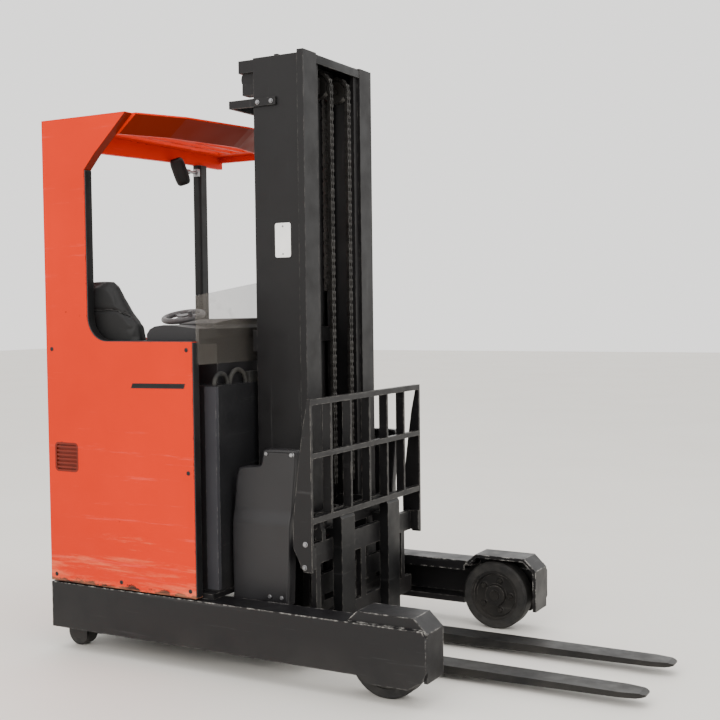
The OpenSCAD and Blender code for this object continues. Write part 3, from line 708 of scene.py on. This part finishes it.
for sign in (-1, 1):
    for x, z, reach in ((925, 740, 412), (850, 420, 420)):
        y0, y1 = sorted((sign * UPRIGHT_FACE, sign * reach))
        add_box(bm, (x, y0, z), (x + 15, y1, z + 50))
piece("mast_covers", bm, COVERS, "reach_carriage", ["mast_shrouds"], 40)

bm = bmesh.new()
for sign in (-1, 1):
    for x, z in ((926, 806), (1036, 806), (940, 275), (992, 275)):
        face = COVER_FACE - 2 - (STEP_BACK if z > STEP_HIGH else 0)
        add_bolt(bm, at(x, sign * face, z), (0, sign, 0), 0.008, 0.007)
piece("cover_screws", bm, STEEL, "reach_carriage", smooth=30)


# Leaf chains


def plate_outline(reach, radius, waist):
    """The outline of one chain plate along its pitch."""
    points = []
    for side in (1, -1):
        for a in (-75, -38, 0, 38, 75):
            along, up = math.cos(math.radians(a)), math.sin(math.radians(a))
            points.append((side * (reach + radius * along), side * radius * up))
        points.append((0, side * waist))
    return points


PULLEY_X, PULLEY_Z, PULLEY_R = 960, 2205, 53
CHAIN_Y, FRONT_LOW, REAR_LOW, LINK = 68, 655, 1405, 25.0
LEAF, PIN_RADIUS, PIN_LENGTH = 0.0036, 0.0036, 0.028
OUTER_LEAVES, INNER_LEAVES = (-12.6, -2.0, 8.6), (-8.6, 4.6)


def chain_path(length):
    """Place and heading at a length along the chain, from the foot of its front run."""
    front = PULLEY_Z - FRONT_LOW
    bend = math.pi * PULLEY_R
    if length < front:
        return (PULLEY_X + PULLEY_R, FRONT_LOW + length), math.pi / 2
    if length < front + bend:
        a = (length - front) / PULLEY_R
        place = (PULLEY_X + PULLEY_R * math.cos(a), PULLEY_Z + PULLEY_R * math.sin(a))
        return place, a + math.pi / 2
    return (PULLEY_X - PULLEY_R, PULLEY_Z - (length - front - bend)), -math.pi / 2


bm = bmesh.new()
outline = plate_outline(LINK / 2, 7.6, 5.4)
pin = [(PIN_RADIUS, 0), (PIN_RADIUS, PIN_LENGTH)]
total = PULLEY_Z - FRONT_LOW + math.pi * PULLEY_R + PULLEY_Z - REAR_LOW
for sign in (-1, 1):
    for i in range(int(total / LINK)):
        (x, z), heading = chain_path((i + 0.5) * LINK)
        c, s = math.cos(heading), math.sin(heading)
        for offset in OUTER_LEAVES if i % 2 else INNER_LEAVES:
            y = sign * CHAIN_Y + offset
            flat = [at(x + u * c - w * s, y, z + u * s + w * c) for u, w in outline]
            add_prism(bm, flat, Vector(), Vector((0, LEAF, 0)))
        (x, z), _ = chain_path(i * LINK)
        add_lathe(bm, at(x, sign * CHAIN_Y - 14, z), (0, 1, 0), pin, 8)
piece("leaf_chains", bm, CHAIN, "inner_mast", ["lift_chains"], 30)


# Folded plate over the pulleys, between the tops of the inner uprights

TOP_REAR, TOP_FRONT, TOP_SIDE, TOP_Z, LIP_Z, SHEET = 884, 1012, 169, 2314, 2277, 6
# The fold's section, as distances behind its front and below its top
FOLD = [
    (TOP_FRONT - TOP_REAR, SHEET), (16, SHEET), (9, SHEET + 3), (SHEET, SHEET + 10),
    (SHEET, TOP_Z - LIP_Z), (0, TOP_Z - LIP_Z), (0, 11), (3, 3), (11, 0),
    (TOP_FRONT - TOP_REAR, 0),
]
bm = bmesh.new()
section = [at(TOP_FRONT - behind, -TOP_SIDE, TOP_Z - below) for behind, below in FOLD]
add_prism(bm, section, Vector(), Vector((0, 2 * TOP_SIDE / 1000, 0)), 0.0012)
piece("mast_top_plate", bm, BLACK, "inner_mast", smooth=40)

BRACKET_FACE, BRACKET_Z = 267, 2134
bm = bmesh.new()
for sign in (-1, 1):
    for x in (806, 868):
        add_bolt(bm, at(x, sign * BRACKET_FACE, BRACKET_Z), (0, sign, 0), 0.0068, 0.006)
piece("bracket_bolts", bm, STEEL, "reach_carriage", smooth=30)


# Load wheel bolts

AXLE_X, AXLE_Z, BOLTS, BOLT_RING, WHEEL_Y, FACE_IN = 1472, 140, 5, 64, 490, 20
for name, sign in (("right", -1), ("left", 1)):
    bm = bmesh.new()
    for i in range(BOLTS):
        a = math.radians(360 / BOLTS * i)
        x, z = AXLE_X + BOLT_RING * math.cos(a), AXLE_Z + BOLT_RING * math.sin(a)
        for face in (-1, 1):
            y = sign * (WHEEL_Y - face * FACE_IN)
            add_bolt(bm, at(x, y, z), (0, -face * sign, 0), 0.0105, 0.013)
    piece(name + "_wheel_bolts", bm, BOLT, name + "_load_wheel", smooth=30)


# Right hand panel: black strip on the opening's edge as painted shade, stripe and screws


def arc(cx, cz, radius, start, end, steps):
    """Points on an arc between two angles in degrees."""
    points = []
    for i in range(steps + 1):
        a = math.radians(start + (end - start) * i / steps)
        points.append((cx + radius * math.cos(a), cz + radius * math.sin(a)))
    return points


def add_lining(bm, path, normals_in, y0, y1, thick):
    """A strip that lies on the edge of a panel, from y0 to y1, thick into the opening."""
    rows = []
    for (x, z), (nx, nz) in zip(path, normals_in):
        rows.append([
            bm.verts.new(at(x, y0, z)),
            bm.verts.new(at(x, y1, z)),
            bm.verts.new(at(x + nx * thick, y1 - 1.5, z + nz * thick)),
            bm.verts.new(at(x + nx * thick * 1.4, (y0 + y1) / 2, z + nz * thick * 1.4)),
            bm.verts.new(at(x + nx * thick, y0 + 1.5, z + nz * thick)),
        ])
    for one, two in zip(rows, rows[1:]):
        for i in range(5):
            j = (i + 1) % 5
            bm.faces.new((one[i], one[j], two[j], two[i]))
    bm.faces.new(rows[0])
    bm.faces.new(rows[-1])


SILL, PILLAR, PILLAR_TOP, OPENING_CORNER, PANEL_FRONT, PANEL_FACE = 1225, 213, 1885, 95, 715, 585
path = [(PILLAR, PILLAR_TOP), (PILLAR, 1700), (PILLAR, 1500)]
path += arc(PILLAR + OPENING_CORNER, SILL + OPENING_CORNER, OPENING_CORNER, 180, 270, 12)
path += [(500, SILL), (712, SILL)]
inward = []
for i, p in enumerate(path):
    a, b = path[max(i - 1, 0)], path[min(i + 1, len(path) - 1)]
    size = math.hypot(b[0] - a[0], b[1] - a[1])
    inward.append((-(b[1] - a[1]) / size, (b[0] - a[0]) / size))
# Painted shade: a black strip over the inner edge of the pillar and sill, where shade falls.
bm = bmesh.new()
add_lining(bm, path, inward, -582, -543, 3)
piece("window_lining_painted_shade", bm, PLASTIC_BLACK, "chassis", smooth=40)

bm = bmesh.new()
front = [(PANEL_FRONT, 278), (PANEL_FRONT, 600), (PANEL_FRONT, 900), (PANEL_FRONT, SILL - 2)]
add_lining(bm, front, [(1, 0)] * len(front), -583, -546, 3)
piece("panel_edge_seal", bm, PLASTIC_BLACK, "chassis", smooth=40)

bm = bmesh.new()
stripe = [(426, 1049), (676, 1052), (683, 1071), (434, 1068)]
add_prism(bm, [at(x, -PANEL_FACE - 0.9, z) for x, z in stripe], Vector(), Vector((0, 0.0012, 0)))
piece("panel_stripe", bm, PLASTIC_BLACK, "chassis")

bm = bmesh.new()
SCREW_HEAD = [(0.0085, 0), (0.0085, 0.0008), (0.006, 0.0024), (0.0, 0.0030)]
for x, z in ((28, 300), (360, 300), (690, 300), (690, 740), (690, 1195), (28, 1195)):
    add_lathe(bm, at(x, -PANEL_FACE, z), (0, -1, 0), SCREW_HEAD, 18)
piece("panel_screws", bm, PLASTIC_BLACK, "chassis", smooth=50)


# Battery corner angles, in paint lighter than the case: painted light on the battery's side faces

BATTERY_FRONT, BATTERY_SIDE, BATTERY_FOOT, ANGLE_HEIGHT = 757, 500, 294, 0.762
ANGLE_PLAN = [(-50, 1.6), (1.8, 1.6), (1.8, -16), (0.3, -16), (0.3, 0.3), (-50, 0.3)]
bm = bmesh.new()
for sign in (-1, 1):
    angle = [
        at(BATTERY_FRONT + x, sign * (BATTERY_SIDE + y), BATTERY_FOOT) for x, y in ANGLE_PLAN
    ]
    add_prism(bm, angle, Vector(), Vector((0, 0, ANGLE_HEIGHT)))
piece("battery_corners_painted_light", bm, LIT_CASE_EDGE, "chassis")


# Rear mirror

MIRROR_AT = at(58, 215, 1968)
MIRROR_TURN = (
    Matrix.Rotation(math.radians(-52), 3, "Z")
    @ Matrix.Rotation(math.radians(8), 3, "Y")
    @ Matrix.Rotation(math.radians(19), 3, "X")
)
MIRROR_ROUND = 0.45  # nearer 0 the outline is squarer, and at 1 it is an ellipse


def mirror_ring(deep, half_wide, half_high, count=40):
    """A rounded rectangle square to the mirror's axis, as points in metres."""
    ring = []
    for i in range(count):
        a = math.tau * i / count
        c, s = math.cos(a), math.sin(a)
        u = math.copysign(abs(c) ** MIRROR_ROUND, c) * half_wide
        w = math.copysign(abs(s) ** MIRROR_ROUND, s) * half_high
        ring.append(MIRROR_AT + MIRROR_TURN @ Vector((deep, u, w)) / 1000)
    return ring


# Depth, half width and half height of the housing's rings, from inside its front rim to its back
HOUSING = [
    (-12, 28, 58), (-16, 28, 58), (-17, 31, 61), (-15, 33, 63), (4, 33, 63), (12, 30, 60),
    (17, 24, 53), (19, 15, 42), (19.6, 5, 20),
]
bm = loft([mirror_ring(*row) for row in HOUSING])
piece("mirror_housing", bm, PLASTIC_BLACK, "chassis", ["rear_mirror"], 50)
GLASS = [(-12.4, 27.6, 57.6), (-13.4, 27.6, 57.6), (-13.9, 26.8, 56.8)]
bm = loft([mirror_ring(*row) for row in GLASS])
piece("mirror_glass", bm, CHROME, "chassis", smooth=40)
ARM = [(30, 381, 1980), (30, 232, 1980), (33, 220, 1979), (42, 215, 1976), (58, 212, 1970)]
COLLAR = [(0.011, 0), (0.011, 0.02)]
bm = bmesh.new()
add_tube(bm, [at(*p) for p in ARM], 0.007, 14)
add_lathe(bm, at(30, 300, 1980), (0, 1, 0), COLLAR, 18)
add_box(bm, (16, 366, 1962), (44, 381, 1998), 0.003)
for z in (1990, 1970):
    add_bolt(bm, at(30, 367, z), (0, -1, 0), 0.005, 0.005)
piece("mirror_arm", bm, STEEL, "chassis", smooth=40)


# Blank plate on the near upright

PLATE_FACE, PLATE_CORNER = 258.4, 8
bm = bmesh.new()
corners = []
for x, z, start in ((881, 1547, 180), (935, 1547, 270), (935, 1662, 0), (881, 1662, 90)):
    corners += arc(x, z, PLATE_CORNER, start, start + 90, 4)
add_prism(bm, [at(x, -PLATE_FACE, z) for x, z in corners], Vector(), Vector((0, 0.0018, 0)))
piece("blank_plate", bm, WHITE, "reach_carriage", smooth=30)

RIVET_HEAD = [(0.004, 0), (0.003, 0.0014), (0.0, 0.0018)]
bm = bmesh.new()
for z in (1552, 1657):
    add_lathe(bm, at(908, -PLATE_FACE + 0.1, z), (0, -1, 0), RIVET_HEAD, 12)
piece("plate_rivets", bm, STEEL, "reach_carriage", smooth=50)


# Backrest bolts

BACKREST_FACE = 448
bm = bmesh.new()
for sign in (-1, 1):
    for x, z in ((1104, 402), (1108, 487)):
        add_bolt(bm, at(x, sign * BACKREST_FACE, z), (0, sign, 0), 0.0075, 0.007)
piece("backrest_bolts", bm, STEEL, "fork_frame", smooth=30)


# Floor, light and camera

FLOOR_SIZE = 60
bpy.ops.mesh.primitive_plane_add(size=FLOOR_SIZE)
floor = bpy.context.object
floor.name = "floor"
ground = Shader("floor")
ground.set(Base_Color=ground.mix(ground.noise(0.8, 3.0), rgb(220, 216, 209), rgb(229, 226, 220)))
ground.set(Roughness=0.6)
floor.data.materials.append(ground.material)


def area(name, place, target, size, power, colour=(1, 1, 1)):
    """A soft lamp of a size in metres that looks at a target."""
    light = bpy.data.lights.new(name, "AREA")
    light.shape = "RECTANGLE"
    light.size, light.size_y = size
    light.energy = power
    light.color = colour
    lamp = bpy.data.objects.new(name, light)
    bpy.context.collection.objects.link(lamp)
    lamp.location = place
    lamp.rotation_euler = (Vector(target) - Vector(place)).to_track_quat("-Z", "Y").to_euler()


MIDDLE = (0, 0, 1.0)
area("key", (0.2, -6.5, 3.6), MIDDLE, (4.0, 3.0), 150, (1.0, 0.97, 0.94))
area("fill", (6.0, -3.5, 2.6), MIDDLE, (3.0, 3.0), 50)
area("top", (0, 0, 6.0), (0, 0, 0), (6.0, 6.0), 150)

world = bpy.data.worlds.new("studio")
bpy.context.scene.world = world
world.use_nodes = True
sky = world.node_tree.nodes["Background"]
sky.inputs["Color"].default_value = (0.95, 0.94, 0.92, 1)
sky.inputs["Strength"].default_value = 1.75

# Camera solved from the photograph's straight edges, turned a little to centre the truck.
YAW, PITCH, ROLL = 0.491 + 0.016, 0.0456 - 0.0025, -0.0116
FRAME, FOCAL, SENSOR, WIDEN = 720, 1189.4, 36, 0.97  # frame and focal length are in pixels
camera = bpy.data.objects.new("camera", bpy.data.cameras.new("camera"))
bpy.context.collection.objects.link(camera)
level = math.cos(PITCH)
ahead = Vector((-math.sin(YAW) * level, math.cos(YAW) * level, -math.sin(PITCH)))
camera.location = at(3303, -3976, 1334)
camera.rotation_euler = (
    ahead.to_track_quat("-Z", "Y").to_matrix() @ Matrix.Rotation(ROLL, 3, "Z")
).to_euler()
camera.data.lens = SENSOR * FOCAL / FRAME * WIDEN
camera.data.sensor_width = SENSOR
bpy.context.scene.camera = camera
